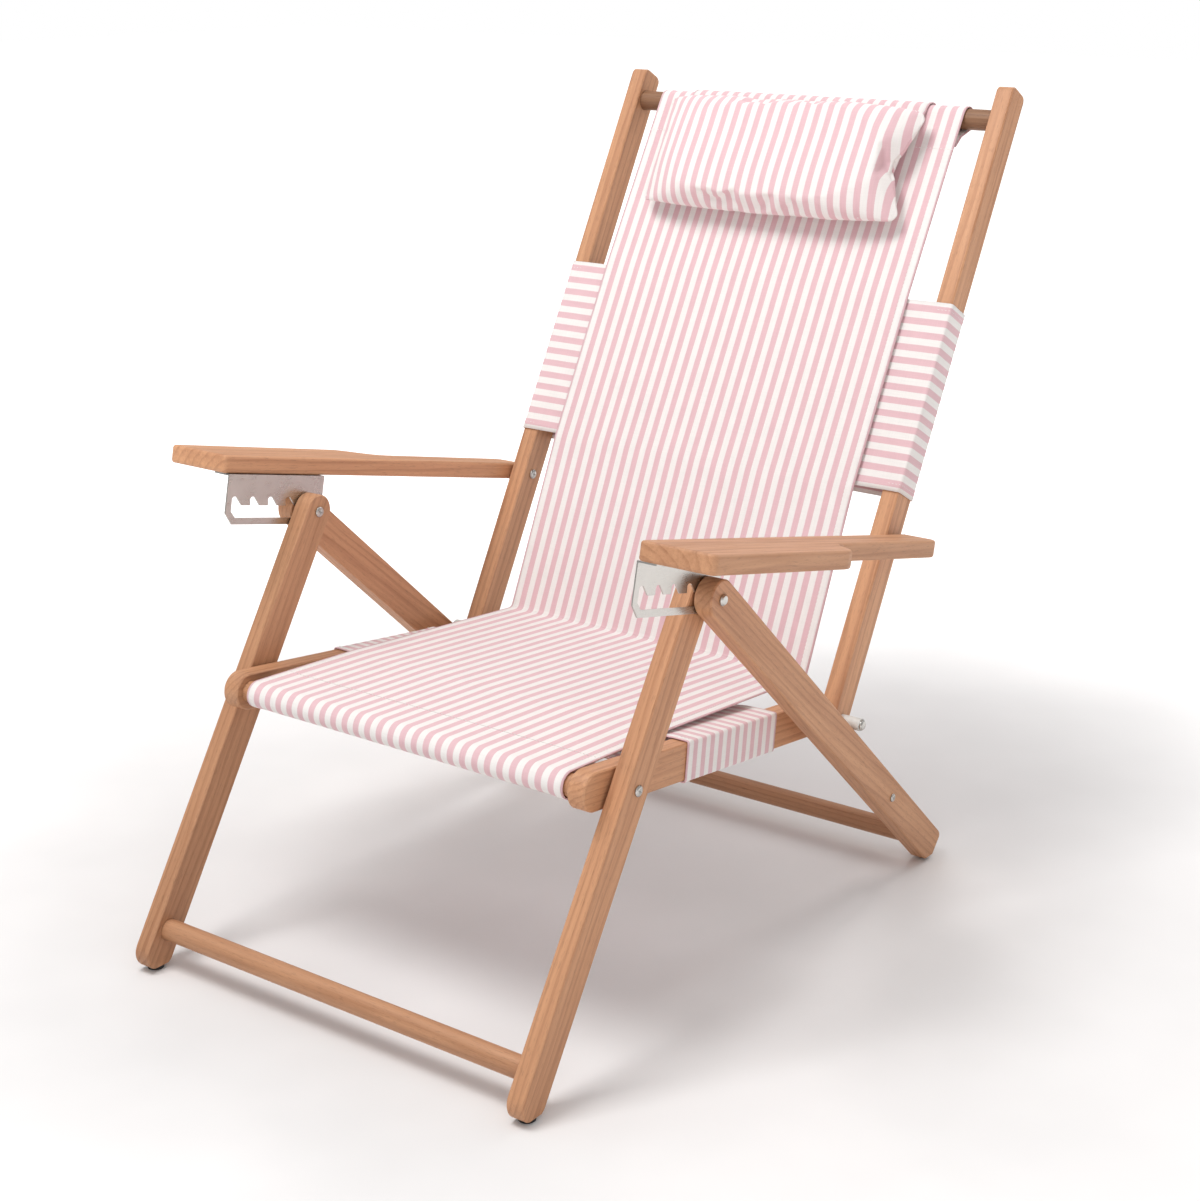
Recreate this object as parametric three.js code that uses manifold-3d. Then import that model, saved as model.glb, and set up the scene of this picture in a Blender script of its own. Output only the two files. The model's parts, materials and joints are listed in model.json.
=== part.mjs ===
// Folding, reclining wooden beach chair with a fabric sling and a headrest pillow.
// Millimetres, +Z up. The sitter faces -Y, so +X is the sitter's left.
import * as THREE from 'three';
import { mergeVertices } from 'three/addons/utils/BufferGeometryUtils.js';
import Module from 'manifold-3d';

const wasm = await Module();
wasm.setup();

// ---- driving dimensions: side view, as distances from the front foot line and the floor ----
const CENTRE_Y = 382.08;           // moves the chair so that its box is centred on Y = 0
const SEAT_PIVOT = { y: 116, z: 259 };
const LEG_ANGLE = 58;              // front leg, from horizontal
const RAIL_ANGLE = -7.2;           // seat rail, falling to the rear
const POST_ANGLE = 61.4;           // back post in its most upright place
const REAR_LEG_ANGLE = -42.4;      // rear leg, falling to the rear
const ARM_ANGLE = -12.54;          // armrest, lifted just clear of its notch
const SEAT_TO_LEG_TOP = 184;       // seat pivot to leg pivot
const SEAT_TO_BACK = 361.6;        // seat pivot to back pivot
const BACK_TO_ARM = 191;           // back pivot to arm pivot
const SEAT_TO_FRONT_ROD = 32.5;
const SEAT_TO_FOOT_ROD = 260;
const FRONT_FOOT_PAST_ROD = 24;
const BACK_TO_TOP_ROD = 655;
const POST_PAST_ROD = 34;
const REAR_ROD_FROM_TOP = 572;
const REAR_LEG_LENGTH = 602;
const STOP_SCREW_FROM_TOP = 457;

// ---- driving dimensions: timber sections and the layers across the chair ----
const THICK = 19;
const EASE = 1.2;                  // eased edge of every timber
const LAYER_1 = 203.5;             // inner face of the seat rails
const LAYER_2 = 225.5;             // inner face of the front legs and back posts
const LAYER_3 = 247.5;             // inner face of the rear legs and armrests
const LEG_WIDTH = 35;
const POST_WIDTH = 32;
const RAIL_WIDTH = 37;
const REAR_WIDTH = 37;
const ROD_RADIUS = 11;
const SOCKET_DEPTH = 11;
const CORNER_RADIUS = 7;           // rounded corners of a timber's square end
const GAP = 0.3;
const PAD_TOP = 4;
const FRONT_PAD_RADIUS = 9;
const REAR_PAD_RADIUS = 5.5;

// ---- driving dimensions: armrest and its ratchet bracket, from the arm pivot ----
const ARM_FRONT = 469;
const ARM_TAIL = 16;
const ARM_THICK = 18;
const ARM_EASE = 3;
const ARM_CORNER = 7;
const TAIL_CORNER = 14;
const ARM_OUTER = 326;
const TAIL_OUTER = 290;
const SHOULDER_FRONT = 240;
const SHOULDER_REAR = 186;
const PLATE = 1.5;
const PLATE_INNER = 245.25;
const PLATE_REAR = 328;
const PLATE_FRONT = 464;
const PLATE_DROP = 59.5;           // centre of the armrest to the bottom of the plate
const FLANGE_WIDTH = 19;
const NOTCH_FIRST = 352.6;
const NOTCH_PITCH = 25.1;
const NOTCH_COUNT = 5;
const NOTCH_TOP = 31.4;
const TOOTH_TIP = 40.25;
const SLOT_BOTTOM = 52.75;
const SLOT_REAR = 347;

// ---- driving dimensions: fasteners ----
const SHANK = 2.75;
const HEAD_RADIUS = 5.5;
const HEAD_HEIGHT = 2.6;
const BORE = SHANK + GAP;
const SPACER_RADIUS = 6.5;
const SPACER_LENGTH = 20.5;
const SHANK_IN_NUT = 1.6;          // bolt end past the timber, inside its domed nut
const WASHER_RADIUS = 8;
const WASHER_THICK = 2.4;
const STOP_SCREW_RADIUS = 2;
const STOP_SCREW_DEPTH = 13;
const BRACKET_SCREW_HOLE = 2.4;
const BRACKET_SCREW_INSET = 20;    // from each end of the bracket
const ARM_BOLT_DEPTH = 30;         // length of the arm pivot bolt inside the armrest

// ---- driving dimensions: fabric ----
const SLING_HALF = 197;
const SLING_THICK = 2;
const BAND = 1.2;
const BAND_GAP = 0.4;
const BACK_BAND = [240, 445];      // along the post, from the back pivot
const SEAT_BAND = [108, 268];      // along the rail, from the seat pivot
const PILLOW = { from: 514, to: 648, near: 22, far: 66, half: 165 };
const FLAP = { thick: 1.4, drop: 120, inset: 12 };

const wood = () => new THREE.MeshStandardMaterial({ color: 0xb9764a, roughness: 0.55, metalness: 0 });
const steel = () => new THREE.MeshStandardMaterial({ color: 0xc6c3bd, roughness: 0.32, metalness: 0.9 });
const fabric = () => new THREE.MeshStandardMaterial({ color: 0xecc9cb, roughness: 0.9, metalness: 0 });
const rubber = () => new THREE.MeshStandardMaterial({ color: 0x2b2a28, roughness: 0.8, metalness: 0 });
const plastic = () => new THREE.MeshStandardMaterial({ color: 0xcfd0cf, roughness: 0.5, metalness: 0 });

const rad = THREE.MathUtils.degToRad;
const along = (from, angle, distance) => ({
  y: from.y + distance * Math.cos(rad(angle)),
  z: from.z + distance * Math.sin(rad(angle)),
});

const LEG_TOP = along(SEAT_PIVOT, LEG_ANGLE, SEAT_TO_LEG_TOP);
const BACK_PIVOT = along(SEAT_PIVOT, RAIL_ANGLE, SEAT_TO_BACK);
const ARM_PIVOT = along(BACK_PIVOT, POST_ANGLE, BACK_TO_ARM);
const SIDES = [{ name: 'left', sign: 1 }, { name: 'right', sign: -1 }];

const chair = new THREE.Group();
chair.position.y = -CENTRE_Y;

// A frame at a side-view point: inside it, Y runs along the member and Z across it.
function memberFrame(at, angle) {
  const frame = new THREE.Group();
  frame.position.set(0, at.y, at.z);
  frame.rotation.x = rad(angle);
  chair.add(frame);
  return frame;
}

function addMesh(frame, name, geometry, material) {
  const mesh = new THREE.Mesh(geometry, material);
  mesh.name = name;
  frame.add(mesh);
  return mesh;
}

// ---- solids: manifold-3d only joins and cuts ----
function toSolid(geometry) {
  const plain = geometry.index ? geometry.toNonIndexed() : geometry.clone();
  plain.deleteAttribute('normal');
  plain.deleteAttribute('uv');
  const merged = mergeVertices(plain, 1e-4);
  return new wasm.Manifold(new wasm.Mesh({
    numProp: 3,
    vertProperties: new Float32Array(merged.attributes.position.array),
    triVerts: new Uint32Array(merged.index.array),
  }));
}

function toGeometry(solid) {
  const mesh = solid.getMesh();
  const geometry = new THREE.BufferGeometry();
  geometry.setAttribute('position', new THREE.BufferAttribute(mesh.vertProperties, 3));
  geometry.setIndex(new THREE.BufferAttribute(mesh.triVerts, 1));
  return geometry;
}

function cut(geometry, ...cutters) {
  const solid = cutters.reduce((rest, cutter) => rest.subtract(toSolid(cutter)), toSolid(geometry));
  return toGeometry(solid);
}

// Extrudes a side-view shape (Y, Z) across the chair between two X values, with eased edges.
function acrossX(shape, xFrom, xTo, ease = EASE, curveSegments = 10) {
  const geometry = new THREE.ExtrudeGeometry(shape, {
    depth: xTo - xFrom - 2 * ease,
    bevelEnabled: ease > 0,
    bevelThickness: ease,
    bevelSize: ease,
    bevelOffset: -ease,
    bevelSegments: 1,
    curveSegments,
  });
  geometry.translate(0, 0, xFrom + ease);
  const cycle = new THREE.Matrix4().makeBasis(
    new THREE.Vector3(0, 1, 0), new THREE.Vector3(0, 0, 1), new THREE.Vector3(1, 0, 0));
  return geometry.applyMatrix4(cycle);
}

// A layer's X range on one side, whichever way round it lies.
function sideRange(sign, inner, outer) {
  return sign > 0 ? [inner, outer] : [-outer, -inner];
}

function rodAlongX(radius, xFrom, xTo, segments = 28) {
  const geometry = new THREE.CylinderGeometry(radius, radius, xTo - xFrom, segments);
  geometry.rotateZ(Math.PI / 2);
  return geometry.translate((xFrom + xTo) / 2, 0, 0);
}

// Member outline from `start` to `end` with a round or a square, corner-rounded end at each.
function memberOutline(start, end, width, roundStart, roundEnd) {
  const half = width / 2;
  const corner = CORNER_RADIUS;
  const shape = new THREE.Shape();
  if (roundEnd) {
    shape.moveTo(end, -half);
    shape.absarc(end, 0, half, -Math.PI / 2, Math.PI / 2, false);
  } else {
    shape.moveTo(end - corner, -half);
    shape.absarc(end - corner, -half + corner, corner, -Math.PI / 2, 0, false);
    shape.absarc(end - corner, half - corner, corner, 0, Math.PI / 2, false);
  }
  if (roundStart) {
    shape.absarc(start, 0, half, Math.PI / 2, 1.5 * Math.PI, false);
  } else {
    shape.absarc(start + corner, half - corner, corner, Math.PI / 2, Math.PI, false);
    shape.absarc(start + corner, -half + corner, corner, Math.PI, 1.5 * Math.PI, false);
  }
  shape.closePath();
  return shape;
}

function bore(shape, at, radius = BORE) {
  const hole = new THREE.Path();
  hole.absarc(at, 0, radius, 0, 2 * Math.PI, true);
  shape.holes.push(hole);
}

function socketCutter(sign, innerFace, at) {
  const [from, to] = sideRange(sign, innerFace - 2, innerFace + SOCKET_DEPTH + GAP);
  return rodAlongX(ROD_RADIUS + GAP, from, to).translate(0, at, 0);
}

// A revolved piece along X: profile points are [radius, distance from its face].
function turned(profile, sign, faceX, segments = 24) {
  const points = profile.map(([r, x]) => new THREE.Vector2(r, x));
  const geometry = new THREE.LatheGeometry(points, segments);
  geometry.rotateZ(-Math.PI / 2);
  if (sign < 0) geometry.rotateY(Math.PI);
  return geometry.translate(sign * faceX, 0, 0);
}

// Bolt with a domed head: `outward` is the head's side seen from its face, +1 away from the middle.
function bolt(sign, headFace, length, outward) {
  const profile = [[0, -length], [SHANK, -length], [SHANK, 0.15], [HEAD_RADIUS, 0.15],
    [HEAD_RADIUS, 1.1], [HEAD_RADIUS * 0.72, HEAD_HEIGHT * 0.85], [0, HEAD_HEIGHT]];
  return turned(profile, sign * outward, outward * headFace);
}

function ring(sign, innerX, length, radius, hole = BORE) {
  return turned([[hole, 0], [radius, 0], [radius, length], [hole, length], [hole, 0]], sign, innerX);
}

// The washer that lies against a timber face, in the space before the next layer.
function washer(sign, faceX) {
  return ring(sign, faceX + GAP, WASHER_THICK, WASHER_RADIUS);
}

function domeNut(sign, faceX, outward, radius = HEAD_RADIUS) {
  const profile = [[BORE, 0.15], [radius, 0.15], [radius, 1.3], [radius * 0.72, 2.9], [0, 3.4],
    [0, 2.2], [BORE, 2.2], [BORE, 0.15]];
  return turned(profile, sign * outward, outward * faceX);
}

function crossRod(frame, name, at, innerFace) {
  const reach = innerFace + SOCKET_DEPTH;
  const mesh = addMesh(frame, name, rodAlongX(ROD_RADIUS, -reach, reach), wood());
  mesh.position.y = at;
}

// ---- front legs, with the foot rod, leg pivot bolts and foot pads ----
function frontLegs() {
  const frame = memberFrame(SEAT_PIVOT, LEG_ANGLE);
  const footEnd = -SEAT_TO_FOOT_ROD - FRONT_FOOT_PAST_ROD;
  for (const { name, sign } of SIDES) {
    const shape = memberOutline(footEnd, SEAT_TO_LEG_TOP, LEG_WIDTH, true, true);
    bore(shape, 0);
    bore(shape, SEAT_TO_LEG_TOP);
    const [from, to] = sideRange(sign, LAYER_2, LAYER_2 + THICK);
    const leg = cut(acrossX(shape, from, to), socketCutter(sign, LAYER_2, -SEAT_TO_FOOT_ROD),
      floorCutter(SEAT_PIVOT, LEG_ANGLE));
    addMesh(frame, `front_leg_${name}`, leg, wood());
  }
  crossRod(frame, 'front_foot_rod', -SEAT_TO_FOOT_ROD, LAYER_2);
  const foot = along(SEAT_PIVOT, LEG_ANGLE, footEnd);
  footPads('front', foot.y, FRONT_PAD_RADIUS, LAYER_2 + THICK / 2);
  const pivots = memberFrame(LEG_TOP, 0);
  for (const { name, sign } of SIDES) {
    const length = LAYER_3 + THICK - LAYER_2 + SHANK_IN_NUT;
    addMesh(pivots, `leg_pivot_bolt_${name}`, bolt(sign, LAYER_2, length, -1), steel());
    addMesh(pivots, `leg_pivot_nut_${name}`, domeNut(sign, LAYER_3 + THICK, 1), steel());
  }
}

// Everything below the top of the foot pads, in a member's own frame.
function floorCutter(at, angle) {
  const block = new THREE.BoxGeometry(700, 400, 100);
  block.translate(0, 0, PAD_TOP + GAP - 50);
  block.translate(0, 0, -at.z);
  return block.rotateX(-rad(angle)).translate(0, ...shiftToFoot(at, angle));
}

// Slides the floor block along the floor until it lies under the member's foot.
function shiftToFoot(at, angle) {
  const slide = -at.z / Math.tan(rad(angle));
  return [slide * Math.cos(rad(angle)), -slide * Math.sin(rad(angle))];
}

function footPads(which, footY, radius, x) {
  const frame = memberFrame({ y: footY, z: 0 }, 0);
  for (const { name, sign } of SIDES) {
    const pad = new THREE.CylinderGeometry(radius, radius - 1, PAD_TOP, 20);
    pad.rotateX(Math.PI / 2).translate(sign * x, 0, PAD_TOP / 2);
    addMesh(frame, `${which}_foot_pad_${name}`, pad, rubber());
  }
}

// ---- rear legs, with the rear rod, pads and the stop screws ----
function rearLegs() {
  const frame = memberFrame(LEG_TOP, REAR_LEG_ANGLE);
  for (const { name, sign } of SIDES) {
    const shape = memberOutline(0, REAR_LEG_LENGTH, REAR_WIDTH, true, false);
    bore(shape, 0);
    const [from, to] = sideRange(sign, LAYER_3, LAYER_3 + THICK);
    const [holeFrom, holeTo] = sideRange(sign, LAYER_3 + THICK - STOP_SCREW_DEPTH - 1, LAYER_3 + THICK + 2);
    const screwHole = rodAlongX(STOP_SCREW_RADIUS + GAP, holeFrom, holeTo, 16);
    const leg = cut(acrossX(shape, from, to), socketCutter(sign, LAYER_3, REAR_ROD_FROM_TOP),
      screwHole.translate(0, STOP_SCREW_FROM_TOP, 0), floorCutter(LEG_TOP, REAR_LEG_ANGLE));
    addMesh(frame, `rear_leg_${name}`, leg, wood());
    const screw = turned(stopScrewProfile(), sign, LAYER_3 + THICK);
    addMesh(frame, `rear_leg_screw_${name}`, screw, steel()).position.y = STOP_SCREW_FROM_TOP;
  }
  crossRod(frame, 'rear_foot_rod', REAR_ROD_FROM_TOP, LAYER_3);
  const corner = along(along(LEG_TOP, REAR_LEG_ANGLE, REAR_LEG_LENGTH), REAR_LEG_ANGLE - 90, REAR_WIDTH / 2);
  footPads('rear', corner.y + 2, REAR_PAD_RADIUS, LAYER_3 + THICK / 2);
}

function stopScrewProfile() {
  const shank = STOP_SCREW_RADIUS;
  return [[0, -STOP_SCREW_DEPTH], [shank, -STOP_SCREW_DEPTH], [shank, 0.15], [4.5, 0.15],
    [4.5, 0.9], [3, 2], [0, 2.3]];
}

// ---- seat frame ----
function seatFrame() {
  const frame = memberFrame(SEAT_PIVOT, RAIL_ANGLE);
  for (const { name, sign } of SIDES) {
    const shape = memberOutline(-SEAT_TO_FRONT_ROD, SEAT_TO_BACK, RAIL_WIDTH, true, true);
    bore(shape, 0);
    bore(shape, SEAT_TO_BACK);
    const [from, to] = sideRange(sign, LAYER_1, LAYER_1 + THICK);
    const rail = cut(acrossX(shape, from, to), socketCutter(sign, LAYER_1, -SEAT_TO_FRONT_ROD));
    addMesh(frame, `seat_rail_${name}`, rail, wood());
    const length = LAYER_2 + THICK - LAYER_1 + SHANK_IN_NUT;
    addMesh(frame, `seat_pivot_bolt_${name}`, bolt(sign, LAYER_2 + THICK, length, 1), steel());
    addMesh(frame, `seat_pivot_nut_${name}`, domeNut(sign, LAYER_1, -1), steel());
    addMesh(frame, `seat_pivot_washer_${name}`, washer(sign, LAYER_1 + THICK), steel());
  }
  crossRod(frame, 'seat_front_rod', -SEAT_TO_FRONT_ROD, LAYER_1);
  const band = sleeveBand(LAYER_1, RAIL_WIDTH, -1, SEAT_BAND);
  addMesh(frame, 'seat_support_band', band, fabric());
  addMesh(frame, 'sling_seat', seatSling(), fabric());
}

// Two sleeves round a pair of members, joined by one run of cloth on the chosen face.
function sleeveBand(innerFace, width, face, [from, to]) {
  const middle = innerFace + THICK / 2;
  const halfX = THICK / 2 + BAND_GAP;
  const halfZ = width / 2 + BAND_GAP;
  const block = (x, z, centreX, centreZ, length) => new THREE.BoxGeometry(x, length, z)
    .translate(centreX, (from + to) / 2, centreZ);
  let band = toSolid(block(2 * middle, BAND, 0, face * (halfZ + BAND / 2), to - from));
  for (const sign of [1, -1]) {
    band = band.add(toSolid(block(2 * (halfX + BAND), 2 * (halfZ + BAND), sign * middle, 0, to - from)));
  }
  for (const sign of [1, -1]) {
    band = band.subtract(toSolid(block(2 * halfX, 2 * halfZ, sign * middle, 0, to - from + 2)));
  }
  return toGeometry(band);
}

// A sling panel: a hem round its rod, and a strip that leaves the hem through the given points.
function slingPanel(points, rodAt) {
  const half = SLING_THICK / 2;
  const shape = new THREE.Shape();
  const near = points.map(([s, n]) => new THREE.Vector2(s, n + half));
  const far = points.map(([s, n]) => new THREE.Vector2(s, n - half)).reverse();
  shape.setFromPoints([...near, ...far]);
  const strip = toSolid(acrossX(shape, -SLING_HALF, SLING_HALF, 0));
  const hem = rodAlongX(ROD_RADIUS + GAP + SLING_THICK, -SLING_HALF, SLING_HALF, 32);
  const rod = rodAlongX(ROD_RADIUS + GAP, -SLING_HALF - 1, SLING_HALF + 1, 32);
  const panel = strip.add(toSolid(hem)).subtract(toSolid(rod));
  return toGeometry(panel).translate(0, rodAt, 0);
}

function seatSling() {
  const rear = SEAT_TO_BACK + SEAT_TO_FRONT_ROD - 26;
  return slingPanel([[0, 12.3], [60, 8.5], [rear, -8]], -SEAT_TO_FRONT_ROD);
}

function backSling() {
  const fromRod = (along) => along - BACK_TO_TOP_ROD;
  const points = [[0, 12.3], [fromRod(BACK_BAND[1] + 20), 19.6], [fromRod(BACK_BAND[0] - 40), 19.6],
    [fromRod(140), 16], [fromRod(55), 6]];
  return slingPanel(points, BACK_TO_TOP_ROD);
}

// ---- back pivots, which stay level with the seat frame's folding and carry the leg rests ----
function backPivots() {
  const frame = memberFrame(BACK_PIVOT, 0);
  for (const { name, sign } of SIDES) {
    const outer = LAYER_3 + SPACER_LENGTH;
    const length = outer - LAYER_1 + SHANK_IN_NUT;
    addMesh(frame, `back_pivot_bolt_${name}`, bolt(sign, LAYER_1, length, -1), steel());
    addMesh(frame, `back_pivot_washer_${name}`, washer(sign, LAYER_1 + THICK), steel());
    const spacer = ring(sign, LAYER_3 - WASHER_THICK, SPACER_LENGTH + WASHER_THICK - 0.1, SPACER_RADIUS);
    addMesh(frame, `leg_rest_spacer_${name}`, spacer, plastic());
    addMesh(frame, `back_pivot_nut_${name}`, domeNut(sign, outer, 1), steel());
  }
}

// ---- back frame ----
function backFrame() {
  const frame = memberFrame(BACK_PIVOT, POST_ANGLE);
  for (const { name, sign } of SIDES) {
    const shape = memberOutline(0, BACK_TO_TOP_ROD + POST_PAST_ROD, POST_WIDTH, true, false);
    bore(shape, 0);
    bore(shape, BACK_TO_ARM);
    const [from, to] = sideRange(sign, LAYER_2, LAYER_2 + THICK);
    const post = cut(acrossX(shape, from, to), socketCutter(sign, LAYER_2, BACK_TO_TOP_ROD));
    addMesh(frame, `back_post_${name}`, post, wood());
  }
  crossRod(frame, 'back_top_rod', BACK_TO_TOP_ROD, LAYER_2);
  addMesh(frame, 'back_support_band', sleeveBand(LAYER_2, POST_WIDTH, 1, BACK_BAND), fabric());
  addMesh(frame, 'sling_back', backSling(), fabric());
  addMesh(frame, 'pillow', pillow(), fabric());
  addMesh(frame, 'pillow_flap', pillowFlap(), fabric());
}

// A fat cushion: its side view is a rounded box that bulges, and its ends are eased.
function pillow() {
  const { from, to, near, far, half } = PILLOW;
  const steps = 32;
  const squareness = 0.7;
  const outline = [];
  for (let i = 0; i < steps; i++) {
    const turn = (2 * Math.PI * i) / steps;
    const swell = (value) => Math.sign(value) * Math.abs(value) ** squareness;
    outline.push(new THREE.Vector2((from + to) / 2 + ((to - from) / 2) * swell(Math.cos(turn)),
      (near + far) / 2 + ((far - near) / 2) * swell(Math.sin(turn))));
  }
  return acrossX(new THREE.Shape(outline), -half, half, 8);
}

// The cloth flap that hangs the pillow: over the top rod and down behind the sling.
function pillowFlap() {
  const radius = ROD_RADIUS + SLING_THICK + 2 * GAP + 0.4;
  const outer = radius + FLAP.thick;
  const rod = BACK_TO_TOP_ROD;
  const shape = new THREE.Shape();
  shape.moveTo(rod - 3, radius);
  shape.lineTo(rod - 3, outer);
  shape.absarc(rod, 0, outer, Math.PI / 2, -Math.PI / 2, true);
  shape.lineTo(rod - FLAP.drop, -outer);
  shape.lineTo(rod - FLAP.drop, -radius);
  shape.absarc(rod, 0, radius, -Math.PI / 2, Math.PI / 2, false);
  shape.closePath();
  return acrossX(shape, FLAP.inset - PILLOW.half, PILLOW.half - FLAP.inset, 0, 12);
}

// ---- armrests: inside an arm frame Y runs to the rear and Z is the armrest's own up ----
function armrestBlank(sign) {
  const inner = LAYER_3;
  const shape = new THREE.Shape();
  const front = -ARM_FRONT;
  const ease = ARM_CORNER;
  shape.moveTo(inner, front + ease);
  shape.quadraticCurveTo(inner, front, inner + ease, front);
  shape.lineTo(ARM_OUTER - ease, front);
  shape.quadraticCurveTo(ARM_OUTER, front, ARM_OUTER, front + ease);
  shape.lineTo(ARM_OUTER, -SHOULDER_FRONT);
  shape.bezierCurveTo(ARM_OUTER, -SHOULDER_FRONT + 24, TAIL_OUTER + 2, -SHOULDER_FRONT + 22,
    TAIL_OUTER, -SHOULDER_REAR);
  shape.lineTo(TAIL_OUTER, ARM_TAIL - TAIL_CORNER);
  shape.quadraticCurveTo(TAIL_OUTER, ARM_TAIL, TAIL_OUTER - TAIL_CORNER, ARM_TAIL);
  shape.lineTo(inner, ARM_TAIL);
  shape.closePath();
  const geometry = new THREE.ExtrudeGeometry(shape, {
    depth: ARM_THICK - 2 * ARM_EASE,
    bevelThickness: ARM_EASE,
    bevelSize: ARM_EASE,
    bevelOffset: -ARM_EASE,
    bevelSegments: 3,
    curveSegments: 8,
  });
  geometry.translate(0, 0, -ARM_THICK / 2 + ARM_EASE);
  if (sign < 0) {
    geometry.scale(-1, 1, 1);
    return flipped(geometry);
  }
  return geometry;
}

// Turns the faces of a mirrored mesh outwards again.
function flipped(geometry) {
  const position = geometry.attributes.position;
  for (let i = 0; i < position.count; i += 3) {
    for (let axis = 0; axis < 3; axis++) {
      const kept = position.getComponent(i, axis);
      position.setComponent(i, axis, position.getComponent(i + 1, axis));
      position.setComponent(i + 1, axis, kept);
    }
  }
  return geometry;
}

// The closed slot: a straight channel with saw-tooth notches along its upper edge.
function slotPath() {
  const path = new THREE.Path();
  path.moveTo(-SLOT_REAR, -SLOT_BOTTOM);
  const front = NOTCH_FIRST + (NOTCH_COUNT - 1) * NOTCH_PITCH + 3.8;
  path.lineTo(-(front - 6.4), -SLOT_BOTTOM);
  path.lineTo(-front, -(SLOT_BOTTOM - 6.4));
  for (let k = NOTCH_COUNT - 1; k >= 0; k--) {
    const seat = NOTCH_FIRST + k * NOTCH_PITCH;
    if (k < NOTCH_COUNT - 1) path.lineTo(-(seat + 3.1), -TOOTH_TIP);
    path.lineTo(-(seat + 3.9), -(NOTCH_TOP + 3));
    path.quadraticCurveTo(-(seat + 3.6), -NOTCH_TOP, -seat, -NOTCH_TOP);
    path.quadraticCurveTo(-(seat - 2.6), -NOTCH_TOP, -(seat - 3.2), -(NOTCH_TOP + 1.6));
    const ramp = seat - 3.2 - (TOOTH_TIP - NOTCH_TOP - 1.6) * 0.95;
    path.lineTo(-Math.max(ramp, SLOT_REAR), -(k === 0 ? TOOTH_TIP - 1.5 : TOOTH_TIP));
  }
  path.lineTo(-SLOT_REAR, -TOOTH_TIP);
  path.closePath();
  return path;
}

// Steel plate that hangs under the armrest, with a flange folded outwards against the wood.
function bracket(sign) {
  const top = -ARM_THICK / 2 - GAP;
  const shape = new THREE.Shape();
  shape.moveTo(-PLATE_REAR, top);
  shape.lineTo(-PLATE_FRONT, top);
  shape.lineTo(-PLATE_FRONT, -PLATE_DROP + 11);
  shape.lineTo(-PLATE_FRONT + 10, -PLATE_DROP);
  shape.lineTo(-PLATE_REAR, -PLATE_DROP);
  shape.closePath();
  shape.holes.push(slotPath());
  const [from, to] = sideRange(sign, PLATE_INNER, PLATE_INNER + PLATE);
  const plate = toSolid(acrossX(shape, from, to, 0, 6));
  const flange = new THREE.BoxGeometry(FLANGE_WIDTH + PLATE / 2, PLATE_FRONT - PLATE_REAR, PLATE);
  flange.translate(sign * (PLATE_INNER + PLATE / 2 + (FLANGE_WIDTH + PLATE / 2) / 2),
    -(PLATE_FRONT + PLATE_REAR) / 2, top - PLATE / 2);
  let solid = plate.add(toSolid(flange));
  for (const at of screwPlaces()) {
    const hole = new THREE.CylinderGeometry(BRACKET_SCREW_HOLE, BRACKET_SCREW_HOLE, 10, 16);
    hole.rotateX(Math.PI / 2).translate(sign * screwX(), -at, top);
    solid = solid.subtract(toSolid(hole));
  }
  return toGeometry(solid);
}

const screwPlaces = () => [PLATE_REAR + BRACKET_SCREW_INSET, PLATE_FRONT - BRACKET_SCREW_INSET];
const screwX = () => PLATE_INNER + PLATE + FLANGE_WIDTH / 2 + 1;

function bracketScrewHole(sign, at) {
  const depth = 13.4;
  const hole = new THREE.CylinderGeometry(BRACKET_SCREW_HOLE, BRACKET_SCREW_HOLE, depth, 16);
  return hole.rotateX(Math.PI / 2).translate(sign * screwX(), -at, -ARM_THICK / 2 + depth / 2 - 1.8);
}

function bracketScrew(sign, at) {
  const points = [[0, -1.8], [3, -1.6], [4, -0.3], [2.1, -0.3], [2.1, 11], [0, 12.5]];
  const screw = new THREE.LatheGeometry(points.map(([r, z]) => new THREE.Vector2(r, z)), 16);
  screw.rotateX(Math.PI / 2);
  return screw.translate(sign * screwX(), -at, -ARM_THICK / 2 - GAP - PLATE);
}

function armrests() {
  const frame = memberFrame(ARM_PIVOT, ARM_ANGLE);
  for (const { name, sign } of SIDES) {
    const pivotHole = rodAlongX(BORE, ...sideRange(sign, LAYER_3 - 2, LAYER_3 + ARM_BOLT_DEPTH + 1), 20);
    const screwHoles = screwPlaces().map((at) => bracketScrewHole(sign, at));
    addMesh(frame, `armrest_${name}`, cut(armrestBlank(sign), pivotHole, ...screwHoles), wood());
    addMesh(frame, `ratchet_bracket_${name}`, bracket(sign), steel());
    screwPlaces().forEach((at, i) => {
      const place = i === 0 ? 'rear' : 'front';
      addMesh(frame, `bracket_screw_${place}_${name}`, bracketScrew(sign, at), steel());
    });
    const length = LAYER_3 + ARM_BOLT_DEPTH - LAYER_2;
    addMesh(frame, `arm_pivot_bolt_${name}`, bolt(sign, LAYER_2, length, -1), steel());
    addMesh(frame, `arm_pivot_washer_${name}`, washer(sign, LAYER_2 + THICK), steel());
  }
}

frontLegs();
rearLegs();
seatFrame();
backPivots();
backFrame();
armrests();

export default chair;
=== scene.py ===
"""Folding beach chair: the soft goods, the finishes, the screw heads and a plain studio."""
import math
import random
import json

import bmesh
import bpy
from bpy.props import FloatProperty, FloatVectorProperty, PointerProperty
from mathutils import Matrix, Vector, noise

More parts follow.
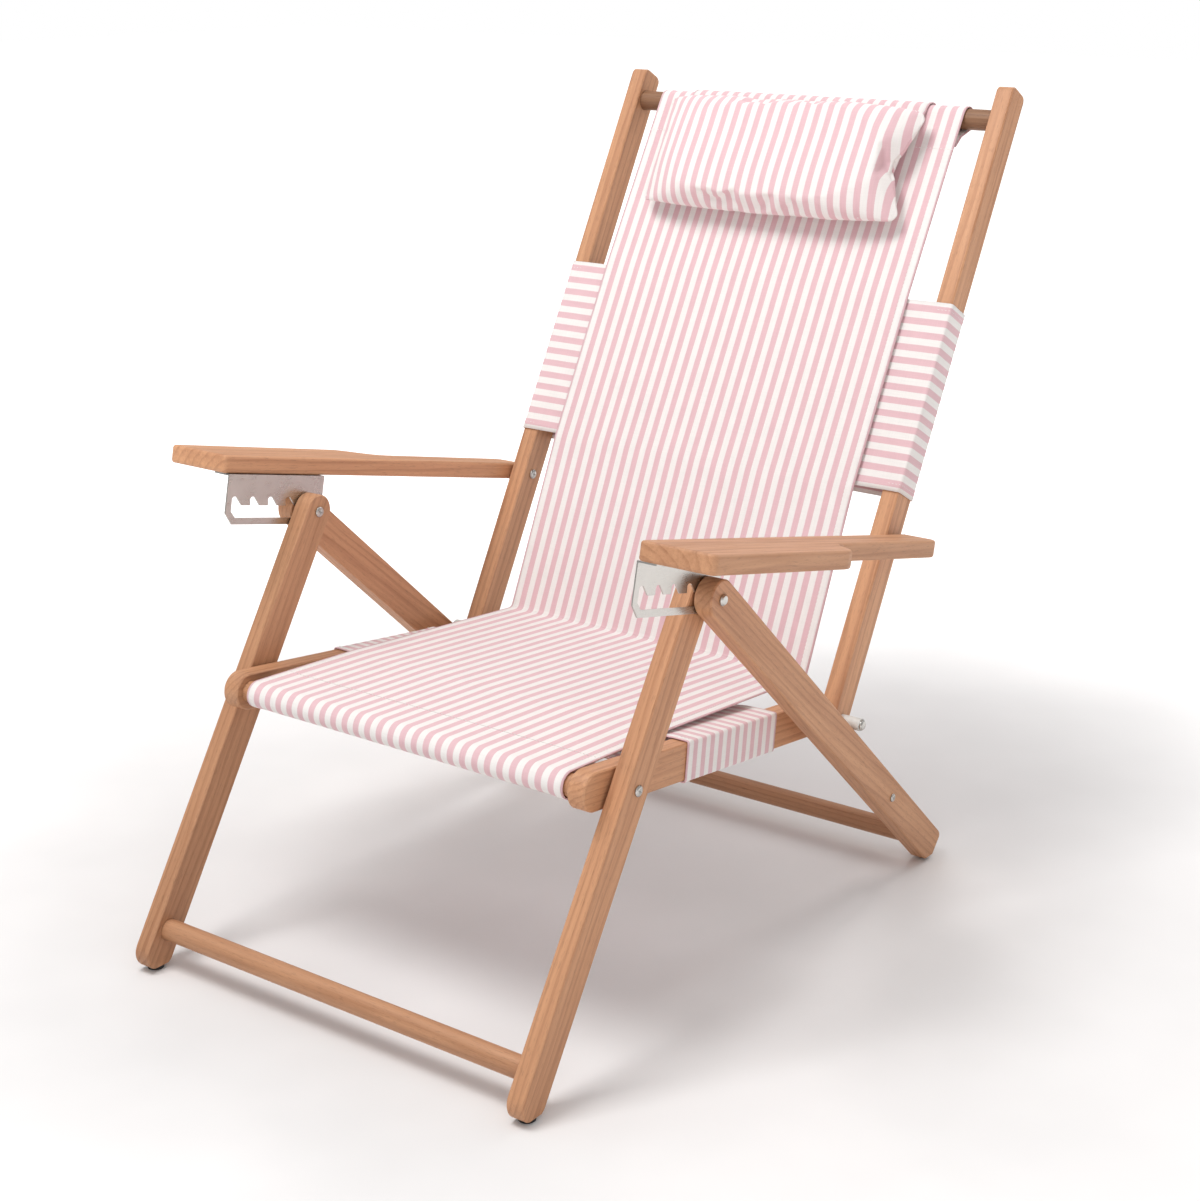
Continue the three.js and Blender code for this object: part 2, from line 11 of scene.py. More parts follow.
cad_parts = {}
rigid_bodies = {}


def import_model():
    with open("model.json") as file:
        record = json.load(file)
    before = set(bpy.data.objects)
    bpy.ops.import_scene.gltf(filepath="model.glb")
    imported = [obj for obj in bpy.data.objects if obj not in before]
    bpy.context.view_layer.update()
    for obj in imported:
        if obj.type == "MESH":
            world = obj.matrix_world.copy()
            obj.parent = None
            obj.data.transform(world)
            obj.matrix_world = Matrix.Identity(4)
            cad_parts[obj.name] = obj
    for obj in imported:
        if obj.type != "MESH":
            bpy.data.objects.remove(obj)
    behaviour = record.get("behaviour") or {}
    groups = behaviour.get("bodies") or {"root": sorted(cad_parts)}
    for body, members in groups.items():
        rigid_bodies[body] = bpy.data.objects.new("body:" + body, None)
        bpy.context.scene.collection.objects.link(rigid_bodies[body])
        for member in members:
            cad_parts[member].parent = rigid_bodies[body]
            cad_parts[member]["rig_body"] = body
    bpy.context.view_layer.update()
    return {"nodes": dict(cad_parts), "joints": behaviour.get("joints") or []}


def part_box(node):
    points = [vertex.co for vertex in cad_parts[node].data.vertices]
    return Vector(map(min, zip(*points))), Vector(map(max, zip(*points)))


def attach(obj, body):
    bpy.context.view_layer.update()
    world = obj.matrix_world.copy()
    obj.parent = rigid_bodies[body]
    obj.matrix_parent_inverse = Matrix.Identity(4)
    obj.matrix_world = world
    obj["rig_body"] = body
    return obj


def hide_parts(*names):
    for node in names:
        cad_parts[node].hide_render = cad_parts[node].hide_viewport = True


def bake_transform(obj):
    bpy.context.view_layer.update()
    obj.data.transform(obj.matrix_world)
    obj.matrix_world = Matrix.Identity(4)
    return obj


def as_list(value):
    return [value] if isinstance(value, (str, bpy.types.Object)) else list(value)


bl_info = {
    "name": "Beach chair",
    "version": (1, 0, 0),
    "blender": (4, 5, 0),
    "location": "View3D > Sidebar > Beach chair",
    "description": "Builds the sling, bands, pillow, finishes and studio of a folding beach chair",
    "category": "Object",
}

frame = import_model()
JOINTS = {joint["name"]: joint for joint in frame["joints"]}
SIDES = {"left": 1, "right": -1}


def pivot(name):
    """The point of a joint, on the chair's middle plane."""
    return Vector(JOINTS[name]["pos_m"])


class Member:
    """A straight timber in side view: s runs along it from its pivot, n is the height above its axis."""

    def __init__(self, origin, toward):
        self.origin = origin
        self.along = (toward - origin).normalized()
        self.up = Vector((1, 0, 0)).cross(self.along)
        self.angle = math.atan2(self.along.z, self.along.y)

    def at(self, s, n, x=0.0):
        return self.origin + self.along * s + self.up * n + Vector((x, 0, 0))

    def local(self, point):
        offset = point - self.origin
        return offset.dot(self.along), offset.dot(self.up)


RAIL = Member(pivot("fold"), pivot("recline"))
POST = Member(pivot("recline"), pivot("arm_lift_left"))
FRONT_LEG = Member(pivot("fold"), pivot("rear_leg_swing"))


def node_centre(node):
    low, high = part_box(node)
    return (low + high) / 2


# ---- sizes and colours ----
class BEACHCHAIR_PG_cloth(bpy.types.PropertyGroup):
    """Sling, bands and pillow."""

    sling_width: FloatProperty(name="Sling width", description="Finished width of the sling",
                               default=0.390, unit="LENGTH")
    thickness: FloatProperty(name="Thickness", description="Thickness of the canvas",
                             default=0.0011, unit="LENGTH")
    hem_width: FloatProperty(name="Hem width", description="Width of the folded side hems",
                             default=0.011, unit="LENGTH")
    crease_s: FloatProperty(name="Crease along post", description="Where the seat meets the back",
                            default=0.034, unit="LENGTH")
    crease_n: FloatProperty(name="Crease before post", description="Crease in front of the posts",
                            default=0.0052, unit="LENGTH")
    stripe_pitch: FloatProperty(name="Stripe pitch", description="One coloured and one plain stripe",
                                default=0.01455, unit="LENGTH")
    thread_pitch: FloatProperty(name="Thread pitch", description="Distance between threads",
                                default=0.0009, unit="LENGTH")
    coloured: FloatVectorProperty(name="Coloured stripe", description="Colour of the dyed stripes",
                                  subtype="COLOR", size=4, default=(0.735, 0.485, 0.515, 1))
    plain: FloatVectorProperty(name="Plain stripe", description="Colour of the undyed stripes",
                               subtype="COLOR", size=4, default=(0.84, 0.80, 0.775, 1))


class BEACHCHAIR_PG_timber(bpy.types.PropertyGroup):
    """Wood finish."""

    light: FloatVectorProperty(name="Early wood", description="Light part of the grain",
                               subtype="COLOR", size=4, default=(0.600, 0.310, 0.165, 1))
    dark: FloatVectorProperty(name="Late wood", description="Dark part of the grain",
                              subtype="COLOR", size=4, default=(0.290, 0.110, 0.048, 1))
    ring_spacing: FloatProperty(name="Ring spacing", description="Distance between growth rings",
                                default=0.0065, unit="LENGTH")
    pores: FloatProperty(name="Pores", description="Strength of the fine dark pores",
                         default=0.35, min=0, max=1, subtype="FACTOR")


class BEACHCHAIR_PG_fittings(bpy.types.PropertyGroup):
    """Bolts, brackets, spacers and foot pads."""

    steel: FloatVectorProperty(name="Steel", description="Colour of the plated steel",
                               subtype="COLOR", size=4, default=(0.56, 0.54, 0.51, 1))
    spacer: FloatVectorProperty(name="Spacer", description="Colour of the pivot spacers",
                                subtype="COLOR", size=4, default=(0.62, 0.61, 0.58, 1))
    # Near-black colour of the pads under the leg ends
    dark_pad: FloatVectorProperty(name="Rubber", description="Colour of the foot pads",
                                subtype="COLOR", size=4, default=(0.022, 0.020, 0.019, 1))
    recess_width: FloatProperty(name="Recess width", description="Arm width of the cross recess",
                                default=0.0016, unit="LENGTH")


class BEACHCHAIR_PG_stage(bpy.types.PropertyGroup):
    """Camera, light and floor."""

    azimuth: FloatProperty(name="Azimuth", description="Camera turn from straight in front",
                           default=math.radians(36.36), subtype="ANGLE")
    elevation: FloatProperty(name="Elevation", description="Camera angle above level",
                             default=math.radians(17.98), subtype="ANGLE")
    distance: FloatProperty(name="Distance", description="Camera distance to its target",
                            default=2.1289, unit="LENGTH")
    target: FloatVectorProperty(name="Target", description="Point that the camera looks at",
                                default=(0.0259, -0.0259, 0.3309), subtype="XYZ", unit="LENGTH")
    lens: FloatProperty(name="Lens", description="Focal length in millimetres", default=62.68)
    floor: FloatVectorProperty(name="Floor", description="Colour of the floor",
                               subtype="COLOR", size=4, default=(0.80, 0.785, 0.78, 1))
    glow: FloatProperty(name="Backdrop glow", description="Lift that whitens the floor away from the chair",
                        default=0.75, min=0)
    key_power: FloatProperty(name="Key light", description="Power of the main light", default=41.0)
    fill_power: FloatProperty(name="Fill light", description="Power of the light beside the camera",
                              default=9.0)
    sky: FloatProperty(name="Surround", description="Strength of the surround's light", default=0.42)


class BEACHCHAIR_PG_settings(bpy.types.PropertyGroup):
    """Everything that a user may change."""

    cloth: PointerProperty(type=BEACHCHAIR_PG_cloth)
    timber: PointerProperty(type=BEACHCHAIR_PG_timber)
    fittings: PointerProperty(type=BEACHCHAIR_PG_fittings)
    stage: PointerProperty(type=BEACHCHAIR_PG_stage)


# ---- shader building ----
def new_group(name, inputs, outputs):
    """An empty shader group: inputs and outputs map a socket's name to its kind and default."""
    group = bpy.data.node_groups.new(name, "ShaderNodeTree")
    for label, (kind, default) in inputs.items():
        socket = group.interface.new_socket(name=label, in_out="INPUT", socket_type=kind)
        if default is not None:
            socket.default_value = default
    for label, kind in outputs.items():
        group.interface.new_socket(name=label, in_out="OUTPUT", socket_type=kind)
    enter = group.nodes.new("NodeGroupInput")
    leave = group.nodes.new("NodeGroupOutput")
    return group, enter.outputs, leave.inputs


class Wires:
    """Short names for the nodes that the groups are made of."""

    def __init__(self, tree):
        self.tree = tree

    def put(self, socket, value):
        if isinstance(value, bpy.types.NodeSocket):
            self.tree.links.new(value, socket)
        else:
            socket.default_value = value

    def math(self, operation, a, b=0.0, clamp=False):
        node = self.tree.nodes.new("ShaderNodeMath")
        node.operation = operation
        node.use_clamp = clamp
        self.put(node.inputs[0], a)
        self.put(node.inputs[1], b)
        return node.outputs[0]

    def times(self, a, b):
        return self.math("MULTIPLY", a, b)

    def plus(self, a, b):
        return self.math("ADD", a, b)

    def minus(self, a, b):
        return self.math("SUBTRACT", a, b)

    def shaded(self, colour, shade):
        return self.mix(1.0, colour, self.join(shade, shade, shade), "MULTIPLY")

    def waves(self, distance, pitch):
        return self.math("SINE", self.times(self.math("DIVIDE", distance, pitch), 2 * math.pi))

    def vector(self, operation, a, b):
        node = self.tree.nodes.new("ShaderNodeVectorMath")
        node.operation = operation
        self.put(node.inputs[0], a)
        self.put(node.inputs[1], b)
        return node.outputs[0]

    def noise(self, vector, scale, detail=2.0, distortion=0.0):
        node = self.tree.nodes.new("ShaderNodeTexNoise")
        self.put(node.inputs["Vector"], vector)
        self.put(node.inputs["Scale"], scale)
        node.inputs["Detail"].default_value = detail
        node.inputs["Distortion"].default_value = distortion
        return node.outputs["Fac"]

    def split(self, vector):
        node = self.tree.nodes.new("ShaderNodeSeparateXYZ")
        self.put(node.inputs[0], vector)
        return node.outputs

    def join(self, x, y, z):
        node = self.tree.nodes.new("ShaderNodeCombineXYZ")
        for socket, value in zip(node.inputs, (x, y, z)):
            self.put(socket, value)
        return node.outputs[0]

    def ramp(self, value, low, high, to_low=0.0, to_high=1.0):
        node = self.tree.nodes.new("ShaderNodeMapRange")
        node.interpolation_type = "SMOOTHSTEP"
        for socket, given in zip(node.inputs, (value, low, high, to_low, to_high)):
            self.put(socket, given)
        return node.outputs[0]

    def mix(self, factor, a, b, blend="MIX"):
        node = self.tree.nodes.new("ShaderNodeMix")
        node.data_type = "RGBA"
        node.blend_type = blend
        self.put(node.inputs["Factor"], factor)
        self.put(node.inputs[6], a)
        self.put(node.inputs[7], b)
        return node.outputs[2]


def canvas_group():
    """Striped canvas: stripes of even width run along V of the cloth's own map, in metres."""
    group, given, result = new_group(
        "striped canvas",
        {"Vector": ("NodeSocketVector", None), "Stripe Pitch": ("NodeSocketFloat", 0.0145),
         "Thread Pitch": ("NodeSocketFloat", 0.0009),
         "Coloured": ("NodeSocketColor", None), "Plain": ("NodeSocketColor", None)},
        {"Color": "NodeSocketColor", "Roughness": "NodeSocketFloat", "Height": "NodeSocketFloat"})
    wires = Wires(group)
    across, along, _ = wires.split(given["Vector"])
    fray = wires.noise(wires.join(wires.times(across, 900), wires.times(along, 1500), 0), 1, 1)
    shifted = wires.math("DIVIDE", across, given["Stripe Pitch"])
    shifted = wires.plus(shifted, wires.times(wires.minus(fray, 0.5), 0.05))
    place = wires.math("ABSOLUTE", wires.minus(wires.math("FRACT", shifted), 0.5))
    stripe = wires.ramp(place, 0.225, 0.265)
    pitch = given["Thread Pitch"]
    threads = wires.times(wires.waves(across, pitch), wires.waves(along, pitch))
    weave = wires.plus(wires.times(threads, 0.5), 0.5)
    slub = wires.noise(wires.join(wires.times(across, 700), wires.times(along, 45), 0), 1, 3)
    weft = wires.noise(wires.join(wires.times(across, 40), wires.times(along, 800), 5), 1, 2)
    washed = wires.noise(given["Vector"], 28, 3)
    colour = wires.mix(stripe, given["Coloured"], given["Plain"])
    tone = wires.plus(wires.times(slub, 0.12), wires.times(weft, 0.08))
    tone = wires.plus(tone, wires.times(weave, 0.06))
    tone = wires.plus(tone, wires.times(washed, 0.06))
    shade = wires.plus(tone, 0.85)
    wires.put(result["Color"], wires.shaded(colour, shade))
    wires.put(result["Roughness"], wires.ramp(weave, 0, 1, 0.92, 0.82))
    wires.put(result["Height"], wires.plus(weave, wires.times(slub, 0.8)))
    return group


def hardwood_group():
    """Hardwood whose grain runs along Y: growth rings round a distant heart, streaks and open pores."""
    group, given, result = new_group(
        "hardwood",
        {"Vector": ("NodeSocketVector", None), "Ring Spacing": ("NodeSocketFloat", 0.004),
         "Light": ("NodeSocketColor", None), "Dark": ("NodeSocketColor", None),
         "Pores": ("NodeSocketFloat", 0.5)},
        {"Color": "NodeSocketColor", "Roughness": "NodeSocketFloat", "Height": "NodeSocketFloat"})
    wires = Wires(group)
    slow = wires.vector("MULTIPLY", given["Vector"], (1.0, 0.10, 1.0))
    wander = wires.times(wires.minus(wires.noise(slow, 22, 2), 0.5), 0.020)
    ripple = wires.times(wires.minus(wires.noise(slow, 95, 2), 0.5), 0.0035)
    x, _, z = wires.split(given["Vector"])
    radius = wires.math("SQRT", wires.plus(wires.math("POWER", wires.math("ABSOLUTE", x), 2),
                                           wires.math("POWER", wires.math("ABSOLUTE", z), 2)))
    radius = wires.plus(radius, wires.plus(wander, ripple))
    ring = wires.math("FRACT", wires.math("DIVIDE", radius, given["Ring Spacing"]))
    late = wires.times(wires.ramp(ring, 0.45, 0.90), wires.ramp(ring, 0.90, 1.0, 1.0, 0.0))
    streak_map = wires.vector("MULTIPLY", given["Vector"], (1.0, 0.035, 1.0))
    streak = wires.noise(streak_map, 320, 4)
    broad = wires.noise(streak_map, 45, 3)
    pore_map = wires.vector("MULTIPLY", given["Vector"], (1.0, 0.07, 1.0))
    pore = wires.ramp(wires.noise(pore_map, 1500, 1), 0.60, 0.70)
    pore = wires.times(pore, given["Pores"])
    amount = wires.plus(wires.times(late, 0.26), wires.times(streak, 0.62))
    amount = wires.plus(amount, wires.times(broad, 0.95))
    amount = wires.math("SUBTRACT", amount, 0.58, clamp=True)
    colour = wires.mix(amount, given["Light"], given["Dark"])
    darker = wires.minus(1.0, wires.times(pore, 0.55))
    wires.put(result["Color"], wires.shaded(colour, darker))
    wires.put(result["Roughness"], wires.plus(wires.times(streak, 0.18), 0.42))
    relief = wires.minus(wires.times(streak, 0.5), pore)
    wires.put(result["Height"], wires.minus(relief, wires.times(late, 0.25)))
    return group


def handled_metal_group():
    """Fine scratches and slight tarnish for plated steel."""
    group, given, result = new_group(
        "handled metal",
        {"Vector": ("NodeSocketVector", None), "Base": ("NodeSocketColor", None)},
        {"Color": "NodeSocketColor", "Roughness": "NodeSocketFloat", "Height": "NodeSocketFloat"})
    wires = Wires(group)
    brushed = wires.noise(wires.vector("MULTIPLY", given["Vector"], (1.0, 0.03, 1.0)), 2600, 3)
    cloud = wires.noise(given["Vector"], 60, 3)
    shade = wires.plus(wires.times(cloud, 0.22), 0.84)
    wires.put(result["Color"], wires.shaded(given["Base"], shade))
    rough = wires.plus(wires.times(brushed, 0.16), wires.times(cloud, 0.14))
    wires.put(result["Roughness"], wires.plus(rough, 0.14))
    wires.put(result["Height"], brushed)
    return group


GROUP_MAKERS = {"striped canvas": canvas_group, "hardwood": hardwood_group,
                "handled metal": handled_metal_group}


def group_named(name):
    return bpy.data.node_groups.get(name) or GROUP_MAKERS[name]()


def finish_material(name, group, values, bump, roughness=None, metallic=0.0, coordinates="Object",
                    turn=(0, 0, 0), shift=(0, 0, 0)):
    """A material that takes colour, roughness and relief from one of the groups."""
    material = bpy.data.materials.new(name)
    material.use_nodes = True
    nodes, links = material.node_tree.nodes, material.node_tree.links
    shader = nodes["Principled BSDF"]
    shader.inputs["Metallic"].default_value = metallic
    effect = nodes.new("ShaderNodeGroup")
    effect.node_tree = group_named(group)
    for label, value in values.items():
        effect.inputs[label].default_value = value
    mapping = nodes.new("ShaderNodeMapping")
    mapping.inputs["Rotation"].default_value = turn
    mapping.inputs["Location"].default_value = shift
    if coordinates == "Object":
        source = nodes.new("ShaderNodeTexCoord").outputs["Object"]
    else:
        uv = nodes.new("ShaderNodeUVMap")
        uv.uv_map = coordinates
        source = uv.outputs["UV"]
    links.new(source, mapping.inputs["Vector"])
    links.new(mapping.outputs["Vector"], effect.inputs["Vector"])
    links.new(effect.outputs["Color"], shader.inputs["Base Color"])
    if roughness is None:
        links.new(effect.outputs["Roughness"], shader.inputs["Roughness"])
    else:
        shader.inputs["Roughness"].default_value = roughness
    relief = nodes.new("ShaderNodeBump")
    relief.inputs["Strength"].default_value = bump[0]
    relief.inputs["Distance"].default_value = bump[1]
    links.new(effect.outputs["Height"], relief.inputs["Height"])
    links.new(relief.outputs["Normal"], shader.inputs["Normal"])
    return material


def canvas_material(name, settings):
    """Striped canvas, whose stripes run along the length of the cloth's own map."""
    cloth = settings.cloth
    material = finish_material(
        name, "striped canvas",
        {"Stripe Pitch": cloth.stripe_pitch, "Thread Pitch": cloth.thread_pitch,
         "Coloured": cloth.coloured, "Plain": cloth.plain},
        (0.45, 0.00035), coordinates="cloth")
    shader = material.node_tree.nodes["Principled BSDF"]
    shader.inputs["Sheen Weight"].default_value = 0.25
    shader.inputs["Sheen Roughness"].default_value = 0.5
    shader.inputs["Specular IOR Level"].default_value = 0.2
    return material


def plain_material(name, colour, roughness, metallic=0.0, grain=220, relief=0.00006):
    """A moulded or spun finish: one colour, broken up by fine noise in tone and relief."""
    material = bpy.data.materials.new(name)
    material.use_nodes = True
    nodes, links = material.node_tree.nodes, material.node_tree.links
    shader = nodes["Principled BSDF"]
    shader.inputs["Metallic"].default_value = metallic
    wires = Wires(material.node_tree)
    place = nodes.new("ShaderNodeTexCoord").outputs["Object"]
    speckle = wires.noise(place, grain * 8, 2)
    cloud = wires.noise(place, grain, 3)
    shade = wires.plus(wires.times(cloud, 0.25), 0.87)
    links.new(wires.shaded(colour, shade), shader.inputs["Base Color"])
    links.new(wires.ramp(speckle, 0.2, 0.8, roughness - 0.08, roughness + 0.08), shader.inputs["Roughness"])
    bump = nodes.new("ShaderNodeBump")
    bump.inputs["Strength"].default_value = 0.5
    bump.inputs["Distance"].default_value = relief
    links.new(speckle, bump.inputs["Height"])
    links.new(bump.outputs["Normal"], shader.inputs["Normal"])
    return material


# ---- mesh building ----
def new_piece(name, bm, *materials, smooth=True):
    mesh = bpy.data.meshes.new(name)
    bm.to_mesh(mesh)
    bm.free()
    for polygon in mesh.polygons:
        polygon.use_smooth = smooth
    for material in materials:
        mesh.materials.append(material)
    piece = bpy.data.objects.new(name, mesh)
    bpy.context.scene.collection.objects.link(piece)
    return piece


def applied(piece):
    """Turns a piece's modifiers into its mesh."""
    bpy.context.view_layer.update()
    graph = bpy.context.evaluated_depsgraph_get()
    mesh = bpy.data.meshes.new_from_object(piece.evaluated_get(graph))
    piece.modifiers.clear()
    piece.data = mesh
    return piece


def rounded_path(corners, radius, step, closed=False, arc_steps=6):
    """Points along a path of (a, b) corners, each rounded, with long spans divided into steps."""
    points = []
    count = len(corners)
    for i, corner in enumerate(corners):
        here = Vector(corner)
        ends = not closed and i in (0, count - 1)
        if ends:
            points.append(here)
            continue
        before, after = Vector(corners[i - 1]) - here, Vector(corners[(i + 1) % count]) - here
        turn = before.angle(after)
        reach = min(radius / math.tan(turn / 2), before.length * 0.49, after.length * 0.49)
        start, end = here + before.normalized() * reach, here + after.normalized() * reach
        for k in range(arc_steps + 1):
            t = k / arc_steps
            points.append(start * (1 - t) ** 2 + here * 2 * t * (1 - t) + end * t ** 2)
    if closed:
        points.append(points[0].copy())
    spaced = [points[0]]
    for point in points[1:]:
        span = point - spaced[-1]
        pieces = max(1, math.ceil(span.length / step))
        start = spaced[-1]
        spaced += [start + span * (k / pieces) for k in range(1, pieces + 1)]
    return spaced


def path_length(points):
    return sum((b - a).length for a, b in zip(points, points[1:]))


def cloth_grid(name, path, columns, place, width, *materials, closed=False):
    """A sheet of cloth: `place(u, k)` puts column u, from -1 to 1, of path point k. Its map is in metres."""
    bm = bmesh.new()
    rows = len(path) - 1
    bmesh.ops.create_grid(bm, x_segments=columns, y_segments=rows, size=1)
    layer = bm.loops.layers.uv.new("cloth")
    travelled = [0.0]
    for a, b in zip(path, path[1:]):
        travelled.append(travelled[-1] + (b - a).length)
    for face in bm.faces:
        for loop in face.loops:
            row = round((loop.vert.co.y + 1) / 2 * rows)
            loop[layer].uv = (loop.vert.co.x * width / 2, travelled[row])
    for vert in bm.verts:
        row = round((vert.co.y + 1) / 2 * rows)
        vert.co = place(vert.co.x, row)
    if closed:
        bmesh.ops.remove_doubles(bm, verts=bm.verts[:], dist=0.00005)
    return new_piece(name, bm, *materials)


def thicken(piece, thickness):
    solid = piece.modifiers.new("thickness", "SOLIDIFY")
    solid.thickness = thickness
    solid.offset = 0
    return applied(piece)


def add_stitches(bm, places, length=0.0030, radius=0.00038):
    """Short raised threads: each place is (point, direction of the seam, outward direction)."""
    for point, direction, outward in places:
        side = direction.cross(outward).normalized()
        turn = Matrix((direction.normalized(), side, outward.normalized())).transposed().to_4x4()
        size = Matrix.Diagonal((length / 2, radius, radius, 1))
        place = Matrix.Translation(point) @ turn @ size
        bmesh.ops.create_icosphere(bm, subdivisions=1, radius=1, matrix=place)


def stitched_seam(points, outward, pitch=0.0042):
    """Stitch places along a run of points, evenly spaced."""
    places, due = [], pitch / 2
    for a, b in zip(points, points[1:]):
        span = b - a
        while due <= span.length and span.length > 0:
            places.append((a + span * (due / span.length), span, outward(a)))
            due += pitch
        due -= span.length
    return places


# ---- shared finishes ----
def make_thread(settings):
    name = "sewing thread"
    return bpy.data.materials.get(name) or plain_material(name, settings.cloth.plain, 0.8)


def make_steel(settings):
    name = "plated steel"
    return bpy.data.materials.get(name) or finish_material(
        name, "handled metal", {"Base": settings.fittings.steel}, (0.25, 0.00003), metallic=1.0)


# ---- sling ----
ROD_WRAP = 0.0125          # from a rod's axis to the middle of the canvas round it
POCKET_TAIL = 0.036        # how far the turned-back end of the canvas reaches from the rod's axis
FRONT_ROD_S = -0.0325
TOP_ROD_S = 0.655
POCKET_STEPS = 26
POCKET_POINTS = POCKET_STEPS + 3
POCKET_END = 0.004
SLING_COLUMNS = 78
BACK_BAND = (0.240, 0.445)   # along the post, from the back pivot
SEAT_BAND = (0.108, 0.2655)  # along the rail, from the seat pivot
OVER_SEAT_BAND = 0.0226    # the canvas above the rail axis where it clears the seat band
OVER_BACK_BAND = 0.0199    # the canvas before the post axis where it clears the back band
BAND_CLEAR = 0.004
TIMBER_THICK = 0.019


def pocket_points(strip_n):
    """The rod pocket in (distance towards the strip, height): turned-back end, round the rod, to its top."""
    start, finish = math.radians(-53), math.radians(-270)
    arc = [start + (finish - start) * k / POCKET_STEPS for k in range(POCKET_STEPS + 1)]
    tail = [(POCKET_TAIL, strip_n - 0.0016), (POCKET_TAIL * 0.6, strip_n * 0.36)]
    return tail + [(ROD_WRAP * math.cos(a), ROD_WRAP * math.sin(a)) for a in arc]


def sling_paths(cloth):
    """Side-view paths of the seat and the back, each from its rod to the crease, in (y, z)."""
    def flat(point):
        return Vector((point.y, point.z))

    seat = [flat(RAIL.at(FRONT_ROD_S + q, n)) for q, n in pocket_points(0.0150)]
    back = [flat(POST.at(TOP_ROD_S - q, n)) for q, n in pocket_points(0.0128)]
    crease = flat(POST.at(cloth.crease_s, cloth.crease_n))
    seat_over_band = flat(RAIL.at(SEAT_BAND[0] - BAND_CLEAR, OVER_SEAT_BAND))
    back_over_band = [flat(POST.at(s, OVER_BACK_BAND))
                      for s in (BACK_BAND[1] + BAND_CLEAR, BACK_BAND[0] - BAND_CLEAR)]
    whole = rounded_path([seat[-1], seat_over_band, crease, back_over_band[1], back_over_band[0], back[-1]],
                         0.008, 0.006, arc_steps=8)
    nearest = min(range(len(whole)), key=lambda k: (whole[k] - crease).length)
    return seat[:-1] + whole[:nearest + 1], back[:-1] + whole[nearest:][::-1]


def sling_panel(name, path, settings, flip):
    """One panel of the sling, with raised side hems and slight ripples."""
    cloth = settings.cloth
    half = cloth.sling_width / 2
    rows = len(path)

    def place(u, row):
        x = u * half
        y, z = path[row]
        before, after = path[max(row - 1, 0)], path[min(row + 1, rows - 1)]
        run = (after - before).normalized()
        normal = Vector((0, -run.y, run.x)) * flip
        hem = 0.0004 if half - abs(x) < cloth.hem_width else 0.0
        settle = math.sin(math.pi * min(row / (rows - 1), 1)) * (1 - row / (rows - 1)) ** 0.5
        ripple = noise.noise(Vector((x * 9, y * 5, z * 5))) * 0.0009
        ripple += noise.noise(Vector((x * 70, y * 6, z * 6))) * 0.00035
        return Vector((x, y, z)) + normal * (hem + ripple * settle)

    panel = cloth_grid(name, path, SLING_COLUMNS, place, cloth.sling_width,
                       canvas_material(f"canvas of {name}", settings))
    thicken(panel, cloth.thickness)
    return panel


def sling_stitching(name, path, settings, flip):
    """Rows of stitches along both side hems and across the rod pocket."""
    cloth = settings.cloth
    bm = bmesh.new()
    strip = path[POCKET_POINTS:]
    raise_by = cloth.thickness / 2 + 0.0005

    def normal_at(k):
        before, after = strip[max(k - 1, 0)], strip[min(k + 1, len(strip) - 1)]
        run = (after - before).normalized()
        return Vector((0, -run.y, run.x)) * flip

    for side in SIDES.values():
        x = side * (cloth.sling_width / 2 - cloth.hem_width + 0.0015)
        points = [Vector((x, *point)) + normal_at(k) * raise_by for k, point in enumerate(strip)]
        index = {id(point): k for k, point in enumerate(points)}
        add_stitches(bm, stitched_seam(points, lambda point: normal_at(index[id(point)])))
    travelled, k = 0.0, 0
    while travelled < POCKET_TAIL - POCKET_END:
        travelled += (strip[k + 1] - strip[k]).length
        k += 1
    half = cloth.sling_width / 2
    lifted = normal_at(k) * raise_by
    ends = [Vector((x, *strip[k])) + lifted for x in (-half, half)]
    add_stitches(bm, stitched_seam(ends, lambda point: normal_at(k)))
    return new_piece(f"{name}_stitching", bm, make_thread(settings))


class BEACHCHAIR_OT_sling(bpy.types.Operator):
    """Make the seat and back panels of the sling"""

    bl_idname = "beach_chair.sling"
    bl_label = "Sling"

    def execute(self, context):
        settings = context.scene.beach_chair
        cloth = settings.cloth
        seat_path, back_path = sling_paths(cloth)
        seat_zone = ("seat_frame", "back_pivots", RAIL.at(0.235, 0), RAIL.at(0.352, 0))
        back_zone = ("back_pivots", "back_frame", POST.at(0.050, 0), POST.at(0.170, 0))
        for node, path, flip, zone, rests in (
                ("sling_seat", seat_path, 1, seat_zone, ["seat_front_rod"]),
                ("sling_back", back_path, -1, back_zone, ["back_top_rod"])):
            body_a, body_b, start, end = zone
            panel = sling_panel(f"{node}_canvas", path, settings, flip)
            thread = sling_stitching(f"{node}_canvas", path, settings, flip)
            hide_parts(node)
            for piece in (panel, thread):
                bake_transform(piece)
                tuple(start)
                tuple(end)
            path_length(path)
            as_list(rests)
        return {"FINISHED"}


